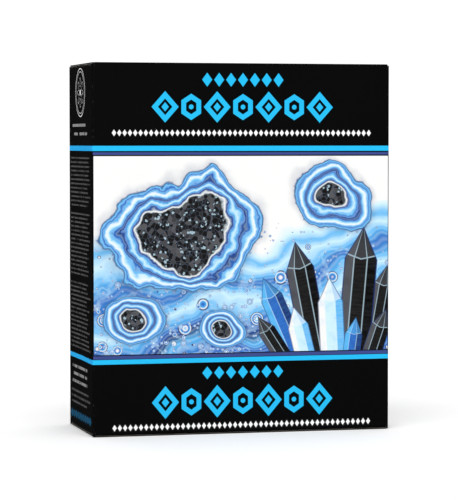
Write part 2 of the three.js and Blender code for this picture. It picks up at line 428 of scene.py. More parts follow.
class Nodes:
    """A node tree, with one way of adding nodes to it."""

    def __init__(self, tree: bpy.types.NodeTree) -> None:
        """Takes a tree and empties it."""
        self.tree = tree
        tree.nodes.clear()

    def add(
        self, kind: str, settings: dict | None = None, inputs: dict | None = None, output: int | str = 0
    ) -> Value:
        """Adds a node.

        Args:
            kind: The node's type.
            settings: Its settings, which are set first. A ramp's are given as "stops", pairs of a place
                and a colour.
            inputs: Values or links of its sockets, by name or number.
            output: The output that is wanted, by name or number.

        Returns:
            That output.
        """
        node = self.tree.nodes.new(kind)
        for name, value in (settings or {}).items():
            if name == "stops":
                self._set_stops(node.color_ramp, value)
            else:
                setattr(node, name, value)
        for key, value in (inputs or {}).items():
            if isinstance(value, Value):
                self.tree.links.new(value.socket, node.inputs[key])
            else:
                node.inputs[key].default_value = value
        return Value(self, node.outputs[output] if node.outputs else None)

    @staticmethod
    def _set_stops(ramp: bpy.types.ColorRamp, stops: list[tuple[float, Colour]]) -> None:
        """Gives a ramp its stops.

        Args:
            ramp: The ramp, new.
            stops: Pairs of a place and a colour.
        """
        while len(ramp.elements) < len(stops):
            ramp.elements.new(1)
        for element, (place, colour) in zip(ramp.elements, stops, strict=True):
            element.position = place
            element.color = colour


class Shader(Nodes):
    """The node tree of one material."""

    def __init__(self, name: str) -> None:
        """Starts an empty material.

        Args:
            name: The material's name.
        """
        self.material = bpy.data.materials.new(name)
        self.material.use_nodes = True
        super().__init__(self.material.node_tree)

    def mix(self, share: Value | float, first: Value | Colour, second: Value | Colour) -> Value:
        """Mixes two colours, from the first at share 0 to the second at share 1."""
        return self.add("ShaderNodeMix", {"data_type": "RGBA"}, {0: share, 6: first, 7: second}, 2)

    def ramp(self, share: Value, stops: list[tuple[float, Colour]]) -> Value:
        """A colour that runs through stops."""
        return self.add("ShaderNodeValToRGB", {"stops": stops}, {"Fac": share})

    def vector(self, operation: str, *operands: Value | tuple, output: int | str = 0) -> Value:
        """Adds a Vector Math node."""
        return self.add("ShaderNodeVectorMath", {"operation": operation}, dict(enumerate(operands)), output)

    def along(self, place: Value, direction: tuple) -> Value:
        """How far a place lies along a direction."""
        return self.vector("DOT_PRODUCT", place, direction, output="Value")

    def place(self, u: Value | float, v: Value | float, w: Value | float = 0.0) -> Value:
        """A vector of three values."""
        return self.add("ShaderNodeCombineXYZ", None, {0: u, 1: v, 2: w})

    def rest_place(self) -> Value:
        """Place on the closed carton, in millimetres, as each board keeps it in an attribute."""
        metres = self.add("ShaderNodeAttribute", {"attribute_name": REST_PLACE}, output="Vector")
        return self.vector("MULTIPLY", metres, (1 / MM, 1 / MM, 1 / MM))

    def floor_place(self) -> Value:
        """Place on a piece that doesn't bend, in millimetres."""
        metres = self.add("ShaderNodeTexCoord", output="Object")
        return self.vector("MULTIPLY", metres, (1 / MM, 1 / MM, 1 / MM))

    def channel(self, colour: Value, number: int) -> Value:
        """One channel of a colour."""
        return self.add("ShaderNodeSeparateColor", None, {0: colour}, number)

    def noise(self, place: Value, scale: float, detail: float = 2.0, output: int | str = 0) -> Value:
        """Noise from 0 to 1, with its scale per millimetre."""
        inputs = {"Vector": place, "Scale": scale, "Detail": detail}
        return self.add("ShaderNodeTexNoise", None, inputs, output)

    def cells(self, place: Value, scale: float, feature: str = "F1", output: int | str = 0) -> Value:
        """Voronoi cells, with their scale per millimetre."""
        inputs = {"Vector": place, "Scale": scale}
        return self.add("ShaderNodeTexVoronoi", {"feature": feature}, inputs, output)

    def chance(self, place: Value, scale: float, number: int = 0) -> Value:
        """A number from 0 to 1 that is the same all over a Voronoi cell."""
        return self.channel(self.cells(place, scale, output="Color"), number)

    def finish(
        self, colour: Value | Colour, rough: Value | float, specular: float, relief: Value, depth: float
    ) -> bpy.types.Material:
        """Adds the surface shader.

        Args:
            colour: Colour of the surface.
            rough: Its roughness.
            specular: Its specular level.
            relief: Height of the surface, from 0 to 1.
            depth: How deep that relief is, in metres.

        Returns:
            The finished material.
        """
        surface = {
            "Base Color": colour,
            "Roughness": rough,
            "Specular IOR Level": specular,
            "Normal": self.add("ShaderNodeBump", None, {"Height": relief, "Distance": depth}),
        }
        shader = self.add("ShaderNodeBsdfPrincipled", None, surface)
        self.add("ShaderNodeOutputMaterial", None, {"Surface": shader})
        return self.material


# ---- Plain board ----


@dataclass(frozen=True)
class BoardInside:
    """The unprinted side: grey-white fibres of mixed pulp with a few dark specks. Scales are per mm."""

    pulp: Colour = (0.62, 0.59, 0.53, 1)
    shade: Colour = (0.48, 0.45, 0.395, 1)
    speck: Colour = (0.16, 0.14, 0.12, 1)
    cloud_scale: float = 0.12
    fibre_scale: float = 2.2
    fibre_stretch: tuple[float, float, float] = (1.0, 1.0, 0.35)
    speck_scale: float = 0.55
    speck_radius: float = 0.16
    bare_cells: float = 0.72
    relief: float = 0.05 * MM

    def material(self) -> bpy.types.Material:
        """Makes the material.

        Returns:
            The material.
        """
        shader = Shader("unprinted_board")
        place = shader.rest_place()
        clouds = shader.noise(place, self.cloud_scale, 3.0)
        fibres = shader.noise(shader.vector("MULTIPLY", place, self.fibre_stretch), self.fibre_scale, 4.0)
        colour = shader.mix(clouds * 0.5 + fibres * 0.6, self.shade, self.pulp)
        size = shader.cells(place, self.speck_scale)
        speckled = shader.chance(place, self.speck_scale) > self.bare_cells
        specks = (self.speck_radius - size).rise(0.0, 0.06) * speckled
        colour = shader.mix(specks * 0.7, colour, self.speck)
        return shader.finish(colour, 0.8 + fibres * 0.15, 0.25, fibres + clouds * 0.5, self.relief)


@dataclass(frozen=True)
class CutEdge:
    """The cut edge of the board: torn fibres between the plies. Their scale is per millimetre."""

    name: str
    middle: Colour
    outer: Colour
    fibre_scale: float = 4.0
    relief: float = 0.06 * MM

    def material(self) -> bpy.types.Material:
        """Makes the material.

        Returns:
            The material.
        """
        shader = Shader(self.name)
        torn = shader.noise(shader.rest_place(), self.fibre_scale, 4.0)
        colour = shader.mix(torn.rise(0.35, 0.65), self.middle, self.outer)
        return shader.finish(colour, 0.85 + torn * 0.1, 0.2, torn, self.relief)


# ---- Inks, shapes and the printed sheet ----


class Ink(Enum):
    """Printing inks, as linear colours. One of them is the cyan again, bluer and less green, with the side
    walls' light painted into it.
    """

    BLACK = (0.0020, 0.0020, 0.0024, 1)
    DARK_GREY = (0.10, 0.10, 0.105, 1)
    GREY = (0.30, 0.30, 0.31, 1)
    WHITE = (0.90, 0.90, 0.89, 1)
    BOARD_WHITE = (0.70, 0.70, 0.685, 1)
    CYAN = (0.010, 0.50, 0.89, 1)
    # Painted light: the front's cyan, shifted bluer and less green for how light falls on the side walls.
    CYAN_WITH_PAINTED_SIDE_LIGHT = (0.004, 0.46, 0.98, 1)
    DEEP_CYAN = (0.004, 0.14, 0.30, 1)
    INDIGO = (0.042, 0.068, 0.26, 1)
    PALE = (0.60, 0.84, 0.97, 1)
    AZURE = (0.10, 0.46, 0.86, 1)
    BLUE = (0.018, 0.13, 0.52, 1)
    DEEP_BLUE = (0.005, 0.028, 0.17, 1)
    SLATE = (0.085, 0.090, 0.105, 1)
    COAL = (0.010, 0.009, 0.009, 1)


class Panel(Enum):
    """A face of the carton: the directions that run right and up across it as its print is read."""

    FRONT = ((1, 0, 0), (0, 0, 1))
    RIGHT = ((0, 1, 0), (0, 0, 1))
    BACK = ((-1, 0, 0), (0, 0, 1))
    LEFT = ((0, -1, 0), (0, 0, 1))
    TOP = ((1, 0, 0), (0, 1, 0))
    BOTTOM = ((1, 0, 0), (0, -1, 0))


def box(u: Value, v: Value, half_u: float, half_v: float) -> Value:
    """Distance to an upright rectangle round the origin."""
    return (abs(u) - half_u).higher(abs(v) - half_v)


def lozenge(u: Value, v: Value, half_u: float, half_v: float) -> Value:
    """Distance to a lozenge round the origin."""
    scale = half_u * half_v / math.hypot(half_u, half_v)
    return (abs(u) * (scale / half_u) + abs(v) * (scale / half_v)) - scale


def hexagon(u: Value, v: Value, half_u: float, half_v: float) -> Value:
    """Distance to a hexagon round the origin, with points at its top and bottom."""
    slope = half_v / (2 * half_u)
    return (abs(u) - half_u).higher((abs(u) * slope + abs(v) - half_v) / math.hypot(slope, 1))


def radius_of(u: Value, v: Value) -> Value:
    """Distance from the origin."""
    return (u * u + v * v).math("SQRT")


def repeated(u: Value, pitch: float, count: int) -> Value:
    """Finds the place within the nearest of a row of equal cells, which is centred on the origin.

    Args:
        u: Place along the row.
        pitch: Length of a cell.
        count: Number of cells.

    Returns:
        Place along the cell, from its middle.
    """
    shift = 0.5 if count % 2 == 0 else 0.0
    reach = (count - 1) / 2
    nearest = (u / pitch - shift).math("ROUND") + shift
    return u - nearest.lower(reach).higher(-reach) * pitch


def even_stops(inks: tuple[Ink, ...], low: float, high: float) -> list[tuple[float, Colour]]:
    """Spreads inks evenly over a ramp, from the first at low to the last at high."""
    span = (high - low) / (len(inks) - 1)
    return [(low + span * number, ink.value) for number, ink in enumerate(inks)]


class Sheet(ABC):
    """Ink laid on the face of one panel, shape over shape. Millimetres: u runs right and v up."""

    def __init__(self, name: str, panel: Panel) -> None:
        """Starts a black sheet.

        Args:
            name: The material's name.
            panel: The face that it covers.
        """
        self.shader = Shader(name)
        self.where = self.shader.rest_place()
        right, up = panel.value
        self.u = self.shader.along(self.where, right)
        self.v = self.shader.along(self.where, up)
        self.flat = self.shader.place(self.u, self.v)
        self.colour: Value | Colour = Ink.BLACK.value

    @abstractmethod
    def draw(self) -> None:
        """Lays the panel's ink."""

    def material(self) -> bpy.types.Material:
        """Draws the print and covers it with the film."""
        self.draw()
        return SatinFilm().cover(self)

    def local(self, place: Value, centre: Pair, turn: float, size: Pair) -> Value:
        """Finds the place within a motif.

        Args:
            place: Place on the panel.
            centre: The motif's origin on the panel.
            turn: Its rotation, in degrees.
            size: Its scale on both axes.

        Returns:
            The place, unturned and in units of the size.
        """
        inputs = {
            "Vector": place,
            "Location": (*centre, 0),
            "Rotation": (0, 0, math.radians(turn)),
            "Scale": (*size, 1),
        }
        return self.shader.add("ShaderNodeMapping", {"vector_type": "TEXTURE"}, inputs)

    def lay(self, mask: Value, ink: Ink | Value) -> None:
        """Lays ink where the mask is 1."""
        colour = ink.value if isinstance(ink, Ink) else ink
        self.colour = self.shader.mix(mask, self.colour, colour)

    def fill(self, shape: Value, ink: Ink) -> None:
        """Lays ink inside a shape, which is given as a distance."""
        self.lay(shape.filled(), ink)

    def bands(self, ink: Ink, *spans: Pair) -> None:
        """Lays bands right across the panel, each from one height to another."""
        for low, high in spans:
            self.fill(abs(self.v - (low + high) / 2) - (high - low) / 2, ink)

    def block(self, ink: Ink, half: Pair, centre: Pair = (0, 0), line: float = 0) -> None:
        """Lays a rectangle, or its outline if the line has a width, with half its size given."""
        shape = box(self.u - centre[0], self.v - centre[1], *half)
        self.fill(shape.stroke(line) if line else shape, ink)

    def dots(self, inks: tuple[Ink, ...], first: Pair, pitch: float, radius: float) -> None:
        """Lays the printer's round colour marks, each a pitch to the right of the last."""
        for number, ink in enumerate(inks):
            self.fill(radius_of(self.u - first[0] - pitch * number, self.v - first[1]) - radius, ink)

    def ornament(
        self,
        centre: float,
        tall: float,
        ink: Ink = Ink.CYAN,
        pitch: float = 10.4,
        count: int = 7,
        line: float = 1.9,
    ) -> None:
        """Lays a row of outlined lozenges and hexagons in turn, each with a small solid shape in it.

        Args:
            centre: Height of the row's middle.
            tall: Half of its height.
            ink: Its ink.
            pitch: Distance between two shapes.
            count: Number of shapes, which is odd.
            line: Width of the outline.
        """
        v = self.v - centre
        u = repeated(self.u, 2 * pitch, (count + 1) // 2)
        first = lozenge(u, v, pitch * 0.52, tall).stroke(line)
        first = first.lower(lozenge(u, v, pitch / 7, tall / 3.4))
        u = repeated(self.u, 2 * pitch, count // 2)
        second = hexagon(u, v, pitch * 0.38, tall * 0.84).stroke(line)
        second = second.lower(radius_of(u, v) - pitch / 11)
        self.fill(first.lower(second), ink)

    def beads(
        self, centre: float, tall: float, pitch: float = 2.1, count: int = 50, ink: Ink = Ink.WHITE
    ) -> None:
        """Lays a row of small solid lozenges round a height, with half of their height given."""
        u = repeated(self.u, pitch, count)
        self.fill(lozenge(u, self.v - centre, pitch * 0.42, tall), ink)

    def emblem(self, height: float) -> None:
        """Lays two thin rings round the outline of a flower.

        Args:
            height: Height of its middle.
        """
        petals, petal_middle, petal_swing, line, eye = 8, 4.3, 1.6, 0.34, 1.2
        v = self.v - height
        radius = radius_of(self.u, v)
        flower = petal_middle + (v.math("ARCTAN2", self.u) * petals).math("COSINE") * petal_swing
        shape = (radius - flower).stroke(line).lower(radius - eye)
        for ring, ring_line in ((9.6, 0.36), (8.3, 0.22)):
            shape = shape.lower((radius - ring).stroke(ring_line))
        self.fill(shape, Ink.WHITE)

    def small_print(
        self, left: float, right: float, top: float, rows: int, pitch: float, ink: Ink, cell: float = 0.7
    ) -> None:
        """Lays rows of dashes of uneven length, which stand for small print and say nothing.

        Args:
            left: Where the rows begin.
            right: Where the longest row ends.
            top: Top of the first row.
            rows: Number of rows.
            pitch: Distance between two rows.
            ink: The ink.
            cell: Length of the shortest dash, and of a gap.
        """
        gaps, shortest, dash_top, dash_foot = 0.17, 0.78, 0.20, 0.58
        shader = self.shader
        down = (top - self.v) / pitch
        row = down.whole()
        column = (self.u - left) / cell
        spot = shader.place(column.whole(), row, top + left)
        kept = shader.add("ShaderNodeTexWhiteNoise", None, {"Vector": spot}) > gaps
        ragged = shader.add("ShaderNodeTexWhiteNoise", {"noise_dimensions": "1D"}, {"W": row + top})
        length = (right - left) / cell * (shortest + ragged * (1 - shortest))
        dashes = (down.part() > dash_top) * (down.part() < dash_foot)
        mask = dashes * (row > -0.5) * (row < rows - 0.5)
        self.lay(mask * kept * (column > 0.0) * (column < length), ink)

    def wear(self, distance: Value, width: float = 0.35, strength: float = 0.12) -> None:
        """Lets a little of the board show through the ink along a crease.

        Args:
            distance: Distance from the crease.
            width: How far the wear reaches.
            strength: How much of the board shows.
        """
        near = 1 - distance.rise(0.0, width)
        broken = self.shader.noise(self.where, 1.5, 5.0).rise(0.58, 0.75)
        self.lay(near * broken * strength, Ink.GREY)


@dataclass(frozen=True)
class SatinFilm:
    """The satin film over the ink, duller where it was handled, on board with fine grain and slow waves.

    Attributes:
        rough: Least roughness, and how much handling and the grain add to it.
        specular: Specular level.
        grain_scale: Grain of the board per millimetre.
        handled_scale: Handled patches per millimetre.
        wave_scale: Waves in the board per millimetre.
        grain: Depth of the grain, as a share of the waves' depth.
        relief: Depth of the waves, in metres.
    """

    rough: tuple[float, float, float] = (0.34, 0.14, 0.04)
    specular: float = 0.22
    grain_scale: float = 2.6
    handled_scale: float = 0.045
    wave_scale: float = 0.035
    grain: float = 0.03
    relief: float = 0.25 * MM

    def cover(self, sheet: Sheet) -> bpy.types.Material:
        """Covers a printed sheet.

        Args:
            sheet: The sheet.

        Returns:
            The finished material.
        """
        noise = sheet.shader.noise
        least, by_handling, by_grain = self.rough
        grain = noise(sheet.where, self.grain_scale, 3.0)
        rough = least + noise(sheet.where, self.handled_scale, 4.0) * by_handling + grain * by_grain
        relief = grain * self.grain + noise(sheet.where, self.wave_scale, 1.0)
        return sheet.shader.finish(sheet.colour, rough, self.specular, relief, self.relief)


# ---- The picture ----


@dataclass(frozen=True)
class StoneSlice:
    """One polished slice of banded stone in the picture.

    Attributes:
        centre: Its middle on the panel, in millimetres.
        radii: Its two radii.
        turn: How far it is turned, in degrees.
        core: Share of the radius that is dark crystal.
        seed: Sets its wavy outline apart from the others.
        rings: Inks from the core to the rind.
        facets: Facets of the dark crystal per millimetre.
        glints: Places per millimetre that may glint.
    """

    centre: Pair
    radii: Pair
    turn: float
    core: float
    seed: float
    rings: tuple[Ink, ...] = (
        Ink.COAL, Ink.WHITE, Ink.DEEP_BLUE, Ink.BLUE, Ink.AZURE, Ink.PALE, Ink.AZURE, Ink.BLUE,
        Ink.DEEP_BLUE, Ink.BLUE, Ink.AZURE, Ink.PALE, Ink.WHITE, Ink.AZURE, Ink.BLUE, Ink.AZURE,
        Ink.DEEP_BLUE,
    )
    facets: float = 0.55
    glints: float = 1.3

    def draw(self, sheet: Sheet, field: Value) -> None:
        """Lays the slice with its soft shadow.

        Args:
            sheet: The sheet to print on.
            field: Mask of the picture that it belongs to.
        """
        shader = sheet.shader
        radial = self._radial(sheet)
        shadow = (1 - radial.rise(0.94, 1.16)) * 0.35
        sheet.lay(shadow * field, Ink.DEEP_BLUE)
        colour = shader.ramp(radial, even_stops(self.rings, self.core, 0.99))
        hair = (radial * 170 + shader.noise(sheet.flat, 0.3) * 4).math("SINE")
        colour = shader.mix((hair * 0.5 + 0.5) * 0.22, colour, Ink.PALE.value)
        inner = 1 - radial.rise(self.core - 0.01, self.core + 0.01)
        colour = shader.mix(inner, colour, self._crystal(sheet))
        sheet.lay((radial - 1).filled(0.02) * field, colour)

    def _radial(self, sheet: Sheet) -> Value:
        """Works out how far from the slice's middle a place lies.

        Args:
            sheet: The sheet to print on.

        Returns:
            The distance as a share of the slice's wavy radius.
        """
        shader = sheet.shader
        spot = shader.vector("ADD", sheet.flat, (0, 0, self.seed))
        bent = sheet.flat
        for scale, detail, share in ((0.05, 2.0, 0.9), (0.22, 3.0, 0.16)):
            shake = shader.vector("SUBTRACT", shader.noise(spot, scale, detail, 1), (0.5, 0.5, 0.5))
            reach = min(self.radii) * share
            bent = shader.vector("MULTIPLY_ADD", shake, (reach, reach, 0), bent)
        local = sheet.local(bent, self.centre, self.turn, self.radii)
        return shader.vector("LENGTH", shader.vector("MULTIPLY", local, (1, 1, 0)), output="Value")

    def _crystal(self, sheet: Sheet) -> Value:
        """Colours the dark crystal: black facets, bluish between them, with pale glints.

        Args:
            sheet: The sheet to print on.

        Returns:
            The colour.
        """
        shader = sheet.shader
        facets = shader.chance(sheet.flat, self.facets)
        colour = shader.mix(facets.rise(0.5, 1.0) * 0.6, Ink.COAL.value, (0.15, 0.15, 0.16, 1))
        edges = shader.cells(sheet.flat, self.facets, "DISTANCE_TO_EDGE")
        colour = shader.mix((1 - edges.rise(0.0, 0.06)) * 0.5, colour, (0.12, 0.16, 0.24, 1))
        glint = shader.chance(sheet.flat, self.glints, 1) > 0.93
        return shader.mix(glint * 0.55, colour, Ink.PALE.value)


@dataclass(frozen=True)
class Crystal:
    """One pointed crystal in the picture: a prism with three seen faces and a tip.

    Attributes:
        foot: Middle of its foot on the panel, in millimetres.
        length: From the foot to the point.
        half_width: Half of its width.
        lean: How far it leans to the right, in degrees.
        inks: Inks of its left, middle and right face.
        gloss: Strength of its bright ridges and streaks.
        tip: Height of its tip, in half widths.
        ridges: Places of the ridges across it, from -1 to 1.
    """

    foot: Pair
    length: float
    half_width: float
    lean: float
    inks: tuple[Ink, Ink, Ink]
    gloss: float = 0.5
    tip: float = 1.9
    ridges: Pair = (-0.42, 0.38)

    def draw(self, sheet: Sheet, field: Value) -> None:
        """Lays the crystal.

        Args:
            sheet: The sheet to print on.
            field: Mask of the picture that it belongs to.
        """
        shader = sheet.shader
        local = sheet.local(sheet.flat, self.foot, -self.lean, (self.half_width, self.half_width))
        x = shader.along(local, (1, 0, 0))
        y = shader.along(local, (0, 1, 0))
        reach = self.length / self.half_width
        edge = ((reach - y) / self.tip).lower(1.0)
        share = x / edge.higher(0.01)
        first, second = (share - ridge for ridge in self.ridges)
        left, middle, right = (ink.value for ink in self.inks)
        colour = shader.mix(first.rise(-0.02, 0.02), left, middle)
        colour = shader.mix(second.rise(-0.02, 0.02), colour, right)
        streaks = shader.noise(shader.vector("MULTIPLY", local, (0.5, 5.0, 1.0)), 1.6, 4.0)
        colour = shader.mix((streaks - 0.38) * self.gloss, colour, left)
        crown = y - (reach - self.tip) - abs(share) * 0.25
        colour = shader.mix(crown.rise(-0.03, 0.03) * 0.45, colour, left)
        cloud = shader.noise(local, 0.9, 3.0).rise(0.45, 0.75)
        colour = shader.mix(cloud * 0.35, colour, right)
        ridge = abs(first).lower(abs(second)).lower(abs(crown))
        colour = shader.mix((1 - ridge.rise(0.01, 0.06)) * self.gloss, colour, Ink.PALE.value)
        outline = abs(x) - edge
        colour = shader.mix((outline + 0.10).rise(0.0, 0.06) * 0.7, colour, Ink.DEEP_BLUE.value)
        sheet.lay(outline.filled(0.05) * field, colour)


@dataclass(frozen=True)
class Picture:
    """A picture of banded stone slices and pointed crystals over layered ground.

    Attributes:
        low: Lowest corner of the field on the panel, in millimetres.
        high: Highest corner.
        motifs: Slices and crystals, from the back to the front.
        layers: Inks of the ground, from its foot upwards.
        pebbles: For each size of pebble, how many lie on a millimetre and the share of the picture's
            height that they reach.
        pebble_rings: Inks of a pebble from its middle outwards, each with its place.
    """

    low: Pair
    high: Pair
    motifs: tuple[StoneSlice | Crystal, ...]
    layers: tuple[Ink, ...] = (
        Ink.BLUE, Ink.AZURE, Ink.DEEP_BLUE, Ink.BLUE, Ink.AZURE, Ink.PALE, Ink.AZURE, Ink.BLUE,
        Ink.AZURE, Ink.PALE, Ink.AZURE, Ink.PALE, Ink.WHITE,
    )
    pebbles: tuple[Pair, ...] = ((0.13, 0.42), (0.3, 0.60), (0.62, 0.66))
    pebble_rings: tuple[tuple[float, Ink], ...] = (
        (0.0, Ink.WHITE), (0.22, Ink.PALE), (0.40, Ink.AZURE), (0.52, Ink.WHITE),
        (0.66, Ink.BLUE), (0.80, Ink.AZURE), (0.90, Ink.WHITE), (1.0, Ink.DEEP_BLUE),
    )

    def draw(self, sheet: Sheet) -> None:
        """Lays the ground, the pebbles and then the motifs.

        Args:
            sheet: The sheet to print on.
        """
        middle = [(low + high) / 2 for low, high in zip(self.low, self.high, strict=True)]
        half = [(high - low) / 2 for low, high in zip(self.low, self.high, strict=True)]
        field = box(sheet.u - middle[0], sheet.v - middle[1], *half).filled()
        fall = (sheet.v - self.low[1]) / (self.high[1] - self.low[1])
        sheet.lay(field, self._ground(sheet, fall))
        for scale, level in self.pebbles:
            self._scatter(sheet, field, scale, fall / level)
        for motif in self.motifs:
            motif.draw(sheet, field)

    def _ground(self, sheet: Sheet, fall: Value) -> Value:
        """Colours the ground: slanting layers of blue stone that fade to white upwards.

        Args:
            sheet: The sheet to print on.
            fall: Height within the picture, from 0 to 1.

        Returns:
            The colour.
        """
        shader = sheet.shader
        warp = shader.noise(sheet.flat, 0.020, 3.0)
        layer = fall * 1.25 - sheet.u * 0.0022 + (warp - 0.5) * 0.9
        ground = shader.ramp(layer, even_stops(self.layers, 0.02, 0.74))
        stony = 1 - layer.rise(0.50, 0.74)
        hair = (layer * 210 + shader.noise(sheet.flat, 0.12, 3.0) * 7).math("SINE")
        ground = shader.mix((hair * 0.5 + 0.5) * stony * 0.22, ground, Ink.PALE.value)
        vein = abs(shader.noise(sheet.flat, 0.06, 5.0) - 0.5)
        return shader.mix((1 - vein.rise(0.0, 0.03)) * stony * 0.30, ground, Ink.PALE.value)

    def _scatter(self, sheet: Sheet, field: Value, scale: float, fall: Value) -> None:
        """Scatters small ringed pebbles, fewer towards the top.

        Args:
            sheet: The sheet to print on.
            field: Mask of the picture.
            scale: Pebbles per millimetre.
            fall: Height within the picture, as a share of the height that they reach.
        """
        shader = sheet.shader
        tone = shader.cells(sheet.flat, scale, output="Color")
        first, second = (shader.channel(tone, number) for number in range(2))
        share = shader.cells(sheet.flat, scale) / (0.18 + first * 0.22)
        shown = (second > fall.math("POWER", 1.5) * 0.6 + 0.3) * (share - 1).filled(0.12)
        rings = [(place, ink.value) for place, ink in self.pebble_rings]
        sheet.lay(shown * field, shader.ramp(share + (first - 0.5) * 0.2, rings))


# ---- The print of each panel ----


# Heights of the bands, and places of the creases that wear, in millimetres.
BANDS = ((110.8, 112.8), (28.2, 30.0))
THIN_BANDS = ((109.3, 110.3), (30.2, 31.5))
WIDE_CREASE = 59.6
NARROW_CREASE = 23.6
LID_CREASES = (-22.8, 22.9)
DARK = (Ink.SLATE, Ink.COAL, Ink.BLACK)
MIDDLE = (Ink.AZURE, Ink.BLUE, Ink.DEEP_BLUE)
LIGHT = (Ink.WHITE, Ink.PALE, Ink.AZURE)
FRONT_PICTURE = Picture(
    low=(-59.5, 31.9),
    high=(59.5, 108.8),
    motifs=(
        StoneSlice((37, 93), radii=(17, 13), turn=-20, core=0.40, seed=11.0),
        Crystal((22, 30), length=34, half_width=4.6, lean=-24, inks=MIDDLE),
        Crystal((53, 30), length=36, half_width=4.4, lean=10, inks=DARK),
        Crystal((30, 30), length=46, half_width=5.8, lean=-11, inks=DARK),
        Crystal((45, 29), length=52, half_width=6.8, lean=5, inks=DARK),
        StoneSlice((-24, 79), radii=(31, 24), turn=14, core=0.54, seed=7.0),
        Crystal((37, 28), length=33, half_width=5.2, lean=-3, inks=LIGHT),
        Crystal((17, 29), length=20, half_width=3.6, lean=-33, inks=DARK),
        Crystal((26, 28), length=22, half_width=4.2, lean=-14, inks=LIGHT),
        Crystal((52, 28), length=21, half_width=4.0, lean=19, inks=DARK),
        Crystal((44, 28), length=17, half_width=3.6, lean=8, inks=MIDDLE),
        StoneSlice((-44, 45), radii=(13, 10), turn=12, core=0.40, seed=19.0),
        StoneSlice((-8, 41), radii=(10, 8), turn=-10, core=0.40, seed=29.0),
    ),
)
BACK_PICTURE = Picture(
    low=(-54, 64),
    high=(-12, 105),
    motifs=(StoneSlice((-33, 84), radii=(15, 13), turn=25, core=0.36, seed=23.0),),
)


class FrontPrint(Sheet):
    """Front: a picture between two black fields with ornament rows."""

    def draw(self) -> None:
        """Lays the front's ink."""
        self.bands(Ink.INDIGO, *THIN_BANDS)
        FRONT_PICTURE.draw(self)
        self.bands(Ink.CYAN, *BANDS)
        self.ornament(centre=127.9, tall=6.1)
        self.beads(centre=138.5, tall=2.7, pitch=4.8, count=7, ink=Ink.CYAN)
        self.beads(centre=117.8, tall=1.3)
        self.ornament(centre=12.9, tall=6.4)
        self.beads(centre=24.1, tall=2.5, pitch=4.8, count=7, ink=Ink.CYAN)
        self.beads(centre=3.4, tall=1.3)
        self.wear(abs(abs(self.u) - WIDE_CREASE))


class SidePrint(Sheet):
    """Right side: an emblem over rows of small print and a blank label."""

    def draw(self) -> None:
        """Lays the side's ink."""
        # The side bands' cyan has the side walls' light painted into it.
        self.bands(Ink.CYAN_WITH_PAINTED_SIDE_LIGHT, *BANDS)
        self.emblem(height=133.7)
        self.small_print(left=-16, right=17, top=122.0, rows=1, pitch=2.9, ink=Ink.GREY, cell=1.15)
        self.small_print(left=-14, right=16, top=118.6, rows=1, pitch=2.9, ink=Ink.GREY, cell=1.15)
        for top, rows in ((108.6, 12), (86.5, 15), (59.0, 16)):
            self.small_print(left=-20, right=20, top=top, rows=rows, pitch=1.7, ink=Ink.DARK_GREY)
        self._foot()
        self.wear(abs(abs(self.u) - NARROW_CREASE))

    def _foot(self) -> None:
        """Lays the blank label."""
        self.block(Ink.WHITE, half=(19, 9), centre=(0, 14))


class LeftPrint(SidePrint):
    """Left side: the same, with bold rows and a small ornament where the label would be."""

    def _foot(self) -> None:
        """Lays the bold rows and the ornament."""
        self.small_print(left=-17, right=19, top=26.0, rows=3, pitch=3.0, ink=Ink.GREY, cell=1.15)
        self.small_print(left=-19, right=20, top=16.0, rows=3, pitch=2.3, ink=Ink.DARK_GREY, cell=0.9)
        self.ornament(centre=5.6, tall=1.9, ink=Ink.DEEP_CYAN, pitch=4.6, count=9, line=0.8)


class BackPrint(Sheet):
    """Back: a small picture beside columns of small print."""

    def draw(self) -> None:
        """Lays the back's ink."""
        self.bands(Ink.CYAN, *BANDS)
        BACK_PICTURE.draw(self)
        for left, top, rows in ((-6, 104.6, 12), (-6, 78.8, 8), (-54, 58.6, 13)):
            self.small_print(left=left, right=54, top=top, rows=rows, pitch=1.9, ink=Ink.GREY)
        self.ornament(centre=127.9, tall=6.1)
        self.beads(centre=117.8, tall=1.3)
        self.block(Ink.WHITE, half=(22, 9.5), centre=(32, 14.5))
        self.small_print(left=-54, right=2, top=23.6, rows=9, pitch=2.1, ink=Ink.DARK_GREY)
        self.wear(abs(abs(self.u) - WIDE_CREASE))


class LidPrint(Sheet):
    """Lid: a double frame round an ornament row."""

    def draw(self) -> None:
        """Lays the lid's ink."""
        self.block(Ink.CYAN, half=(53, 17.5), line=1.0)
        self.block(Ink.INDIGO, half=(51.2, 15.7), line=0.4)
        self.ornament(centre=0.0, tall=6.1)
        self.beads(centre=-11.2, tall=1.2, count=40)
        for crease in LID_CREASES:
            self.wear(abs(self.v - crease))


class BasePrint(Sheet):
    """Bottom: plain black with a blank label and the printer's colour marks."""

    def draw(self) -> None:
        """Lays the bottom's ink."""
        self.block(Ink.WHITE, half=(20, 8), centre=(-30, 0))
        self.dots((Ink.CYAN, Ink.INDIGO, Ink.WHITE), first=(30, 12), pitch=6, radius=1.6)


class FlapPrint(Sheet):
    """Dust flaps: black runs on a little past the crease, and the rest is white with colour marks."""

    def draw(self) -> None:
        """Lays the flaps' ink."""
        self.block(Ink.BOARD_WHITE, half=(54.5, 30))
        for side in (-1, 1):
            first = (31 * side, -14)
            self.dots((Ink.CYAN, Ink.INDIGO, Ink.BLACK), first=first, pitch=4.5 * side, radius=1.3)


# ---- The boards ----


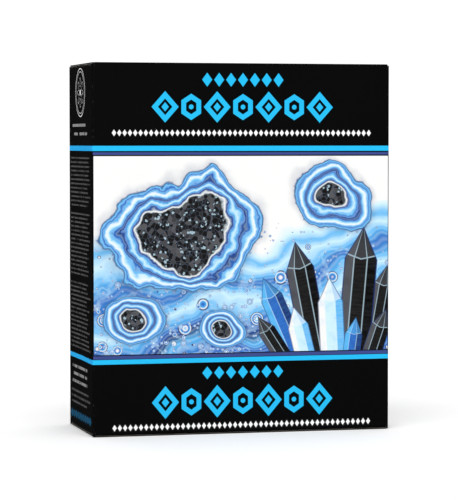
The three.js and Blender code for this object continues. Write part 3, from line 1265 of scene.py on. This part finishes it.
@dataclass
class Board(ABC):
    """One board of the carton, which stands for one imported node.

    Attributes:
        sizes: The carton's sizes.
        node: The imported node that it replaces.
        slot: The record's slot for the board. It is not used.
        printed: Its printed finishes.
        plain: The inside and the cut edge.
        map_scales: How large the faces of each finish are laid out in the board's image map. Left
            empty, the board gets no map of its own.
        crease_steps: Number of faces round a crease.
    """

    sizes: CartonSizes
    node: str
    slot: str
    printed: list[bpy.types.Material]
    plain: list[bpy.types.Material]
    map_scales: tuple[float, ...] = ()
    crease_steps: int = 8

    def build(self) -> None:
        """Models the board, dresses it, passes it to attach and hides the imported node."""
        bench = self.shape()
        bpy.ops.object.mode_set(mode="OBJECT")
        piece = bench.piece
        for material in (*self.printed, *self.plain):
            piece.data.materials.append(material)
        self.assign(piece)
        bench.thicken(self.sizes.board)
        bench.keep_place()
        if self.map_scales:
            bench.lay_flat(self.map_scales)
        self.attach(piece)
        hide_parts(self.node)
        log.info("%s: %d faces", piece.name, len(piece.data.polygons))

    @abstractmethod
    def shape(self) -> Bench:
        """Models the printed skin and leaves it facing outwards."""

    def assign(self, piece: bpy.types.Object) -> None:
        """Gives each face of the skin its printed finish: here they all have the first."""

    def attach(self, piece: bpy.types.Object) -> None:
        """Joins the piece to the body that it moves with."""
        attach(piece, "carton")


@dataclass
class Sleeve(Board):
    """The four walls with their folded lips and the glue flap, one sheet creased at the corners.

    Attributes:
        glue_flap: Length of the glue flap, from the left wall.
        glue_taper: How far its ends slant.
        glue_short: How much shorter it is than the wall at each end.
        seam_setback: How far short of the left wall the back wall ends.
        corner_rise: How far the strips at the corners stand over the side walls' lips.
        corner_foot: How far above the floor they end.
        cells: Number of faces along and up a wide wall.
        side_cells: Number of faces along a side wall.
        glue_cells: Number of faces along the glue flap.
        sag: How far the front, back and side walls bow in.
        sag_reach: How far the bow of a wide and of a side wall reaches.
        wide_middle: Part of a wide wall that bows most, across and up.
        side_middle: The same on a side wall.
    """

    map_scales: tuple[float, ...] = (2.0, 1.1, 1.3, 1.5, 0.5, 0.8)
    glue_flap: float = 14 * MM
    glue_taper: float = 5 * MM
    glue_short: float = 3 * MM
    seam_setback: float = 0.4 * MM
    corner_rise: float = 0.22 * MM
    corner_foot: float = 0.25 * MM
    cells: tuple[int, int] = (20, 24)
    side_cells: int = 8
    glue_cells: int = 4
    sag: tuple[float, float, float] = (0.35 * MM, 0.3 * MM, 0.25 * MM)
    sag_reach: Pair = (37 * MM, 17 * MM)
    wide_middle: tuple[Pair, Pair] = ((-20 * MM, 20 * MM), (45 * MM, 100 * MM))
    side_middle: tuple[Pair, Pair] = ((-4 * MM, 4 * MM), (30 * MM, 115 * MM))

    @property
    def low(self) -> float:
        """Where the flat of the walls ends at the bottom."""
        return 2 * self.sizes.board + self.sizes.crease

    @property
    def high(self) -> float:
        """Where the flat of the side walls ends at the top."""
        return self.sizes.side_rim - self.sizes.crease

    @property
    def glue_corner(self) -> float:
        """Where the flat of the left wall ends and the glue flap's crease begins."""
        return self.sizes.corner_y - self.sizes.board

    @property
    def glue_slit(self) -> float:
        """Where the lips of the side walls end, at the back."""
        return self.glue_corner - self.sizes.slit

    def shape(self) -> Bench:
        """Draws the walls out from the front wall both ways round, then the lips up and down.

        Returns:
            The bench with the skin on it.
        """
        s = self.sizes
        front_low = Vector((-s.slit_x, -s.half_depth, self.low))
        front_high = Vector((s.slit_x, -s.half_depth, self.high))
        bench = Bench("sleeve_board", front_low, front_high, self.cells, turn=90)
        self._walls(bench)
        self._lips(bench)
        self._glue_flap_ends(bench)
        bench.face(within(y=(-s.half_depth,)), -Y_AXIS)
        self._settle(bench)
        return bench

    def _walls(self, bench: Bench) -> None:
        """Draws the right and back walls from the front's right end, and the left wall from its left.

        Args:
            bench: The bench with the front wall on it.
        """
        s = self.sizes
        steps = self.crease_steps
        side_runs = (s.slit, (s.slit_y + self.glue_slit, self.side_cells), s.slit)
        bench.pick(Kind.EDGE, within(x=(s.slit_x,)))
        bench.draw_out(X_AXIS, s.slit)
        bench.fold(Vector((s.corner_x, -s.corner_y, 0)), Z_AXIS, 90, steps)
        bench.draw_out(Y_AXIS, *side_runs, s.board)
        bench.fold(Vector((s.corner_x, s.corner_y, 0)), Z_AXIS, 90, steps)
        back_run = (2 * s.slit_x, self.cells[0])
        bench.draw_out(-X_AXIS, s.slit, back_run, s.slit, s.crease - self.seam_setback)

        bench.pick(Kind.EDGE, within(x=(-s.slit_x,), y=(-s.half_depth,)))
        bench.draw_out(-X_AXIS, s.slit)
        bench.fold(Vector((-s.corner_x, -s.corner_y, 0)), Z_AXIS, -90, steps)
        bench.draw_out(Y_AXIS, *side_runs)
        bench.fold(Vector((-s.corner_x, self.glue_corner, 0)), Z_AXIS, -90, steps)
        bench.draw_out(X_AXIS, (self.glue_flap - s.crease, self.glue_cells))

    def _lips(self, bench: Bench) -> None:
        """Draws each wall's top and bottom edge up or down, and folds all but the front's top inwards.

        Args:
            bench: The bench with the walls on it.
        """
        s = self.sizes

        def lip(wall: dict, edge: float, run: float, hinge: Pair, axis: Vector, degrees: float) -> None:
            """Draws an edge of a wall up or down and folds it.

            Args:
                wall: Limits of the wall on X and Y.
                edge: Height of the edge.
                run: How far up it is drawn before it folds, negative for down.
                hinge: Place of the fold's centre on X and Y.
                axis: Direction of the crease.
                degrees: The fold, right-handed about the axis.
            """
            bench.pick(Kind.EDGE, within(**wall, z=(edge,)))
            if run:
                bench.draw_out(Z_AXIS, run)
            bench.fold(Vector((*hinge, edge + run)), axis, degrees, self.crease_steps)

        front = {"x": (-s.slit_x, s.slit_x), "y": (-s.half_depth,)}
        back = {"x": (-s.slit_x, s.slit_x), "y": (s.half_depth,)}
        bench.pick(Kind.EDGE, within(**front, z=(self.high,)))
        bench.draw_out(Z_AXIS, s.crease, s.height - s.side_rim)
        lip(back, self.high, s.height - s.side_rim, (0, s.corner_y), X_AXIS, 90)
        lip(back, self.low, -2 * s.board, (0, s.corner_y), X_AXIS, -90)
        lip(front, self.low, -s.board, (0, -s.corner_y), X_AXIS, 90)
        for side in (-1, 1):
            wall = {"x": (side * s.half_width,), "y": (-s.slit_y, self.glue_slit)}
            hinge = (side * s.corner_x, 0)
            lip(wall, self.high, 0, hinge, Y_AXIS, -90 * side)
            lip(wall, self.low, 0, hinge, Y_AXIS, 90 * side)
            beyond = (side * s.corner_x, side * s.half_width)
            for y in ((-s.half_depth, -s.corner_y), (self.glue_corner, s.half_depth)):
                bench.pick(Kind.EDGE, within(x=beyond, y=y, z=(self.high,)))
                bench.draw_out(Z_AXIS, s.crease + self.corner_rise)
                bench.pick(Kind.EDGE, within(x=beyond, y=y, z=(self.low,)))
                bench.draw_out(-Z_AXIS, self.low - self.corner_foot)

    def _glue_flap_ends(self, bench: Bench) -> None:
        """Cuts the glue flap's ends short and slanting.

        Args:
            bench: The bench with the sleeve on it.
        """
        s = self.sizes
        flap_y = s.half_depth - s.board
        on_flap = within(x=(-s.corner_x, -s.half_width + self.glue_flap), y=(flap_y,))
        for end, up in ((s.height, 1), (0, -1)):
            shoulder = Vector((-s.corner_x, flap_y, end - up * self.glue_short))
            slant = Vector((self.glue_taper, 0, up * (self.glue_flap - s.crease))).normalized()
            bench.cut(on_flap, shoulder, slant, discard=True)

    def _settle(self, bench: Bench) -> None:
        """Bows each wall in by a hair, as board does between its creases.

        Args:
            bench: The bench with the sleeve on it.
        """
        s = self.sizes
        front_sag, back_sag, side_sag = self.sag
        wide_reach, side_reach = self.sag_reach
        across, up = self.wide_middle
        bench.bow(within(x=across, y=(-s.half_depth,), z=up), Y_AXIS * front_sag, wide_reach)
        bench.bow(within(x=across, y=(s.half_depth,), z=up), -Y_AXIS * back_sag, wide_reach)
        across, up = self.side_middle
        for side in (-1, 1):
            middle = within(x=(side * s.half_width,), y=across, z=up)
            bench.bow(middle, -X_AXIS * side * side_sag, side_reach)

    def assign(self, piece: bpy.types.Object) -> None:
        """Gives each face the finish of the panel that it faces: front, right, back or left.

        Args:
            piece: The sleeve's skin.
        """
        for face in piece.data.polygons:
            x, y, _ = face.normal
            across = abs(x) > abs(y)
            face.material_index = (1 if x > 0 else 3) if across else (0 if y < 0 else 2)


@dataclass
class TuckLid(Board):
    """The lid panel and its tuck flap, with the crease that joins the lid to the back wall.

    Attributes:
        side_setback: How far the lid's ends lie inside the side walls' faces.
        tuck_length: Length of the tuck flap along its curl.
        curl_radius: Radius of its curl.
        tuck_setback: How far its ends lie inside the side walls' faces.
        corner_radius: Radius of its free corners.
        corner_from: How far from the middle and how far under its crease the corners' cuts begin.
        lock_slit: Length and height of the slit at each end of its crease.
        cells: Number of faces along and across the lid.
        bend_steps: Number of faces across the part that bends.
        curl_steps: Number of faces down the tuck flap.
        sag: How far the lid bows in.
        sag_reach: How far the bow reaches.
        middle: Part of the lid that bows most, across and to the back.
    """

    side_setback: float = 0.4 * MM
    tuck_length: float = 15 * MM
    curl_radius: float = 40 * MM
    tuck_setback: float = 2.4 * MM
    corner_radius: float = 9 * MM
    corner_from: Pair = (30 * MM, 3 * MM)
    lock_slit: Pair = (6 * MM, 0.6 * MM)
    cells: tuple[int, int] = (20, 8)
    bend_steps: int = 8
    curl_steps: int = 10
    sag: float = 0.12 * MM
    sag_reach: float = 18 * MM
    middle: tuple[Pair, Pair] = ((-25 * MM, 25 * MM), (-4 * MM, 4 * MM))

    def shape(self) -> Bench:
        """Draws the crease and the tuck flap out from the lid panel.

        Returns:
            The bench with the skin on it.
        """
        s = self.sizes
        low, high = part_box(self.node)
        front = low.y + s.crease
        crease_z = s.height - s.crease
        half = s.half_width - self.side_setback
        tuck = s.half_width - self.tuck_setback
        slit_end = tuck - self.lock_slit[0]
        slit_low = crease_z - self.lock_slit[1]
        panel = Vector((-half, front, s.height)), Vector((half, high.y, s.height))
        bench = Bench("lid_board", *panel, self.cells)
        for x in (-tuck, -slit_end, slit_end, tuck):
            bench.cut(within(), Vector((x, 0, 0)), X_AXIS)
        bench.pick(Kind.EDGE, within(y=(high.y,)))
        bench.draw_out(Y_AXIS, (s.corner_y - high.y, self.bend_steps))
        bench.pick(Kind.EDGE, within(y=(front,)))
        bench.fold(Vector((0, front, crease_z)), X_AXIS, 90, self.crease_steps)
        curl = self.tuck_length / self.curl_radius
        axis_y = low.y + self.curl_radius
        bench.fold(Vector((0, axis_y, crease_z)), X_AXIS, math.degrees(curl), self.curl_steps)
        tip = crease_z - self.curl_radius * math.sin(curl)
        bench.cut(within(z=(0, crease_z)), Vector((0, 0, slit_low)), Z_AXIS)
        under_top = (0, s.height - 0.6 * s.board)
        across, down = self.corner_from
        for side in (-1, 1):
            bench.remove(within(x=(side * tuck, side * half), z=under_top))
            bench.remove(within(x=(side * slit_end, side * tuck), z=(slit_low, crease_z)))
            corner = Vector((side * (tuck - self.corner_radius), 0, tip + self.corner_radius))
            free_end = within(x=(side * across, side * tuck), z=(0, crease_z - down))
            bench.round_off(free_end, corner, self.corner_radius, X_AXIS * side, -Z_AXIS)
        bench.face(within(y=(0, high.y), z=(s.height,)), Z_AXIS)
        wide, deep = self.middle
        bench.bow(within(x=wide, y=deep), -Z_AXIS * self.sag, self.sag_reach)
        return bench

    def attach(self, piece: bpy.types.Object) -> None:
        """Bakes the piece's transform into its mesh and leaves it on no body.

        Args:
            piece: The lid's board.
        """
        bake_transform(piece)


@dataclass
class DustFlap(Board):
    """A dust flap, with the crease that joins it to its side wall.

    Attributes:
        side: 1 on the right wall and -1 on the left wall.
        body: Name given to the board's piece, before _board.
        shoulder_at: Where the shoulder that leaves room for the tuck flap begins, from the root.
        shoulder: How far the shoulder steps in.
        taper: How far the shoulder slants, and then the front edge.
        rear_taper: How far the rear edge slants.
        corner_radius: Radius of the free corners.
        tip: Length of the part that hangs most.
        droop: How far it hangs, and how far from it the bend reaches.
        cells: Number of faces along and across the flap.
        bend_steps: Number of faces across the part that bends.
    """

    side: int = 1
    body: str = "right_flap"
    shoulder_at: float = 3 * MM
    shoulder: float = 3 * MM
    taper: float = 1.5 * MM
    rear_taper: float = 5 * MM
    corner_radius: float = 6 * MM
    tip: float = 3 * MM
    droop: Pair = (0.5 * MM, 26 * MM)
    cells: tuple[int, int] = (12, 12)
    bend_steps: int = 4

    def shape(self) -> Bench:
        """Cuts the flap's outline.

        Returns:
            The bench with the skin on it.
        """
        s = self.sizes
        low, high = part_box(self.node)
        root = high.x if self.side > 0 else -low.x
        reach = high.x - low.x
        inwards = -X_AXIS * self.side

        def spot(distance: float, y: float = 0.0) -> Vector:
            """The point of the flap at that distance from its root."""
            return Vector((self.side * (root - distance), y, high.z))

        def strip(near: float, far: float, y: tuple = ()) -> Test:
            """A test for places between two distances from the root."""
            return within(x=(spot(near).x, spot(far).x), y=y)

        bench = Bench(f"{self.body}_board", Vector((*low.xy, high.z)), high, self.cells)
        bench.pick(Kind.EDGE, within(x=(self.side * root,)))
        bench.draw_out(-inwards, (s.corner_x - root, self.bend_steps))
        slope_end = self.shoulder_at + self.taper
        for distance in (self.shoulder_at, slope_end):
            bench.cut(within(), spot(distance), inwards)

        flat_end = reach - self.corner_radius
        shoulder_y = low.y + self.shoulder
        step = Vector((inwards.x * self.shoulder, -self.taper, 0))
        front = Vector((inwards.x * self.taper, slope_end - flat_end, 0))
        rear = Vector((inwards.x * self.rear_taper, flat_end - self.shoulder_at, 0))
        bench.cut(strip(self.shoulder_at, slope_end), spot(self.shoulder_at, low.y), step, discard=True)
        bench.cut(strip(slope_end, reach), spot(slope_end, shoulder_y), front, discard=True)
        bench.cut(strip(self.shoulder_at, reach), spot(self.shoulder_at, high.y), rear, discard=True)
        for y, edge, normal in (
            (low.y, shoulder_y + self.taper + self.corner_radius, front),
            (high.y, high.y - self.rear_taper - self.corner_radius, rear),
        ):
            corner = strip(reach * 0.6, reach, (y, 0))
            start = normal.normalized()
            bench.round_off(corner, spot(flat_end, edge), self.corner_radius, start, inwards)
        bench.face(within(), Z_AXIS)
        hang, bend = self.droop
        bench.bow(strip(reach - self.tip, reach), -Z_AXIS * hang, bend)
        return bench

    def attach(self, piece: bpy.types.Object) -> None:
        """Bakes the piece's transform into its mesh and leaves it on no body.

        Args:
            piece: The flap's board.
        """
        low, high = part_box(self.node)
        root = high.x if self.side > 0 else low.x
        start = (self.side * self.sizes.corner_x, 0, high.z)
        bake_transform(piece)


@dataclass
class BottomFlap(Board):
    """A flat flap of the glued bottom, with its free corners cut off a little.

    Attributes:
        free: Direction from its crease to its free edge.
        clipped: Length and depth of the cut at each free corner.
        cells: Number of faces along X and Y.
    """

    free: tuple[int, int] = (0, -1)
    clipped: Pair = (6 * MM, 2 * MM)
    cells: tuple[int, int] = (12, 8)

    def shape(self) -> Bench:
        """Cuts the two free corners.

        Returns:
            The bench with the skin on it.
        """
        low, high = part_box(self.node)
        bench = Bench(f"{self.node}_board", low, Vector((*high.xy, low.z)), self.cells, turn=180)
        along = Vector((*self.free, 0))
        across = Vector((-along.y, along.x, 0))
        middle = (low + high) / 2
        half = (high - low) / 2
        reach, width = abs(along.dot(half)), abs(across.dot(half))
        length, depth = self.clipped
        for side in (-1, 1):
            corner = middle + along * (reach - length) + across * side * width
            corner.z = low.z
            bench.cut(within(), corner, along * depth + across * side * length, discard=True)
        bench.face(within(), -Z_AXIS)
        return bench


# ---- The studio ----


def direction_to(azimuth: float, elevation: float) -> Vector:
    """Unit vector from the carton towards an azimuth and elevation, in degrees, with 0 at its front."""
    a, e = math.radians(azimuth), math.radians(elevation)
    return Vector((math.sin(a) * math.cos(e), -math.cos(a) * math.cos(e), math.sin(e)))


@dataclass(frozen=True)
class Studio:
    """A pale floor, soft light and the camera.

    Attributes:
        azimuth: Camera's direction round the carton, in degrees, negative towards its left.
        elevation: Camera's height above the horizon, in degrees.
        distance: Camera's distance from the target, in metres.
        lens: Focal length, in millimetres on a 36 mm frame.
        target: What it looks at.
        backdrop: Brightness of the surroundings where the camera sees them.
        ambient: Their brightness as a light.
        reflected: Their brightness in reflections.
        suns: Name, azimuth, elevation, strength and breadth of each lamp, with the angles in degrees.
        floor_size: Side of the floor, in metres.
        floor_tones: The floor's two near-white tones.
    """

    azimuth: float = -14.4
    elevation: float = 2.5
    distance: float = 1.0
    lens: float = 179.6
    target: tuple[float, float, float] = (0.0005, 0.0, 0.071)
    backdrop: float = 1.05
    ambient: float = 0.66
    reflected: float = 0.03
    suns: tuple[tuple[str, float, float, float, float], ...] = (
        ("key", -20, 60, 1.68, 50),
        ("fill", 160, 50, 0.35, 70),
    )
    floor_size: float = 16
    floor_tones: tuple[Colour, Colour] = ((0.94, 0.94, 0.94, 1), (0.96, 0.96, 0.96, 1))

    def build(self) -> None:
        """Sets up the floor, the light and the camera."""
        self._floor()
        self._surroundings()
        for name, azimuth, elevation, strength, breadth in self.suns:
            lamp = bpy.data.lights.new(name, "SUN")
            lamp.energy = strength
            lamp.angle = math.radians(breadth)
            self._point(lamp, azimuth, elevation, Vector())
        self._camera()
        log.info("studio: floor, %d lamps and camera", len(self.suns))

    def _floor(self) -> None:
        """Lays the floor."""
        bpy.ops.object.select_all(action="DESELECT")
        bpy.ops.mesh.primitive_grid_add(
            x_subdivisions=8, y_subdivisions=8, size=self.floor_size, location=(0, 0, -NEAR)
        )
        floor = bpy.context.object
        floor.name = "studio_floor"
        shader = Shader("floor_paper")
        place = shader.floor_place()
        colour = shader.mix(shader.noise(place, 0.004, 2.0), *self.floor_tones)
        floor.data.materials.append(shader.finish(colour, 0.9, 0.1, shader.noise(place, 0.3), 0.02 * MM))
        floor.visible_glossy = False

    def _surroundings(self) -> None:
        """Surrounds the carton with white, brightest to the camera and dimmest in reflections."""
        world = bpy.data.worlds.new("white_room")
        bpy.context.scene.world = world
        world.use_nodes = True
        room = Nodes(world.node_tree)
        seen = room.add("ShaderNodeLightPath", output="Is Camera Ray")
        mirrored = room.add("ShaderNodeLightPath", output="Is Glossy Ray")
        strength = seen * (self.backdrop - self.ambient) + self.ambient
        strength = mirrored * (self.reflected - self.ambient) + strength
        white = room.add("ShaderNodeBackground", None, {"Color": (1, 1, 1, 1), "Strength": strength})
        room.add("ShaderNodeOutputWorld", None, {"Surface": white})

    @staticmethod
    def _point(data: bpy.types.ID, azimuth: float, elevation: float, place: Vector) -> bpy.types.Object:
        """Adds a lamp or camera that looks at the carton from a direction.

        Args:
            data: The lamp or the camera.
            azimuth: Its direction round the carton, in degrees.
            elevation: Its height above the horizon, in degrees.
            place: Where it stands.

        Returns:
            The new object.
        """
        holder = bpy.data.objects.new(data.name, data)
        bpy.context.scene.collection.objects.link(holder)
        holder.location = place
        holder.rotation_euler = (-direction_to(azimuth, elevation)).to_track_quat("-Z", "Y").to_euler()
        return holder

    def _camera(self) -> None:
        """Adds the camera."""
        data = bpy.data.cameras.new("camera")
        data.lens = self.lens
        data.clip_start = 0.01
        place = Vector(self.target) + direction_to(self.azimuth, self.elevation) * self.distance
        bpy.context.scene.camera = self._point(data, self.azimuth, self.elevation, place)
        bpy.context.scene.view_settings.view_transform = "Standard"


def build_carton() -> None:
    """Builds every board and the studio, in order."""
    sizes = CartonSizes.from_frame()
    inside, inked, bare, front, right, back, left, lid, base, flap = (
        finish.material()
        for finish in (
            BoardInside(),
            CutEdge("inked_edge", middle=(0.014, 0.0135, 0.013, 1), outer=(0.034, 0.033, 0.031, 1)),
            CutEdge("bare_edge", middle=(0.26, 0.25, 0.23, 1), outer=(0.46, 0.44, 0.41, 1)),
            FrontPrint("front_print", Panel.FRONT),
            SidePrint("right_print", Panel.RIGHT),
            BackPrint("back_print", Panel.BACK),
            LeftPrint("left_print", Panel.LEFT),
            LidPrint("lid_print", Panel.TOP),
            BasePrint("base_print", Panel.BOTTOM),
            FlapPrint("flap_print", Panel.TOP),
        )
    )
    black = [inside, inked]
    plain = [inside, bare]
    boards = (
        Sleeve(sizes, "wall_sleeve", "printed_board", [front, right, back, left], black),
        TuckLid(sizes, "tuck_lid", "printed_board_lid", [lid], black),
        DustFlap(sizes, "left_dust_flap", "plain_board", [flap], plain, side=-1, body="left_flap"),
        DustFlap(sizes, "right_dust_flap", "plain_board", [flap], plain, side=1, body="right_flap"),
        BottomFlap(sizes, "bottom_left_flap", "plain_board", [flap], black, free=(1, 0)),
        BottomFlap(sizes, "bottom_right_flap", "plain_board", [flap], black, free=(-1, 0)),
        BottomFlap(sizes, "bottom_inner_flap", "plain_board", [flap], black, free=(0, 1)),
        BottomFlap(sizes, "bottom_outer_flap", "printed_board_lid", [base], black, free=(0, -1)),
    )
    for board in boards:
        board.build()
    Studio().build()


if __name__ == "__main__":
    logging.basicConfig(level=logging.INFO, format="%(message)s")
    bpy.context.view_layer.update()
    build_carton()
